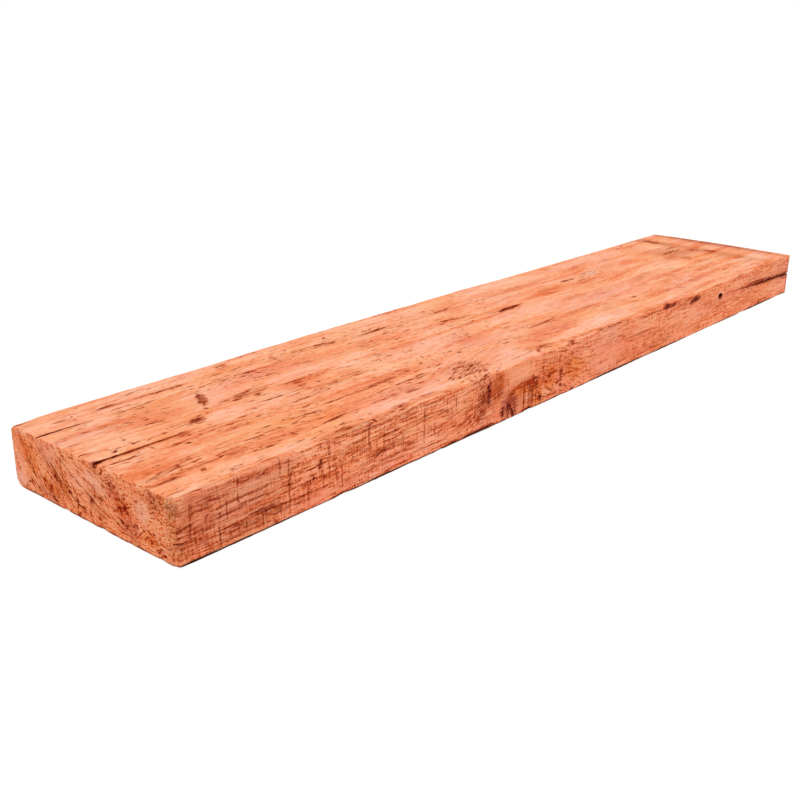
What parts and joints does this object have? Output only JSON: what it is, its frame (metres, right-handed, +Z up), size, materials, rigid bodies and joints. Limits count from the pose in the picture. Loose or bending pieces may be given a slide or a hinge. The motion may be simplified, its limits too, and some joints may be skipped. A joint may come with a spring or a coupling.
{
  "type": "rough sawn plank",
  "caption": "Rough sawn hardwood plank: flat stock with saw marks, drying checks, knots and gum pockets, for shelving, decking, benches or cutting into parts.",
  "frame": {"origin": "Middle of the plank's bottom face, on the surface that it lies on.", "axes": "+X runs along the plank to its docked, bowed end. +Y runs across it to its back edge, where the wane is. +Z is up, out of its heart side."},
  "size_m": [1.0029, 0.203, 0.05],
  "materials": {
    "sawn_wood": "rough sawn, unsealed"
  },
  "bodies": {
    "root": {"plank": "sawn_wood"}
  },
  "joints": []
}
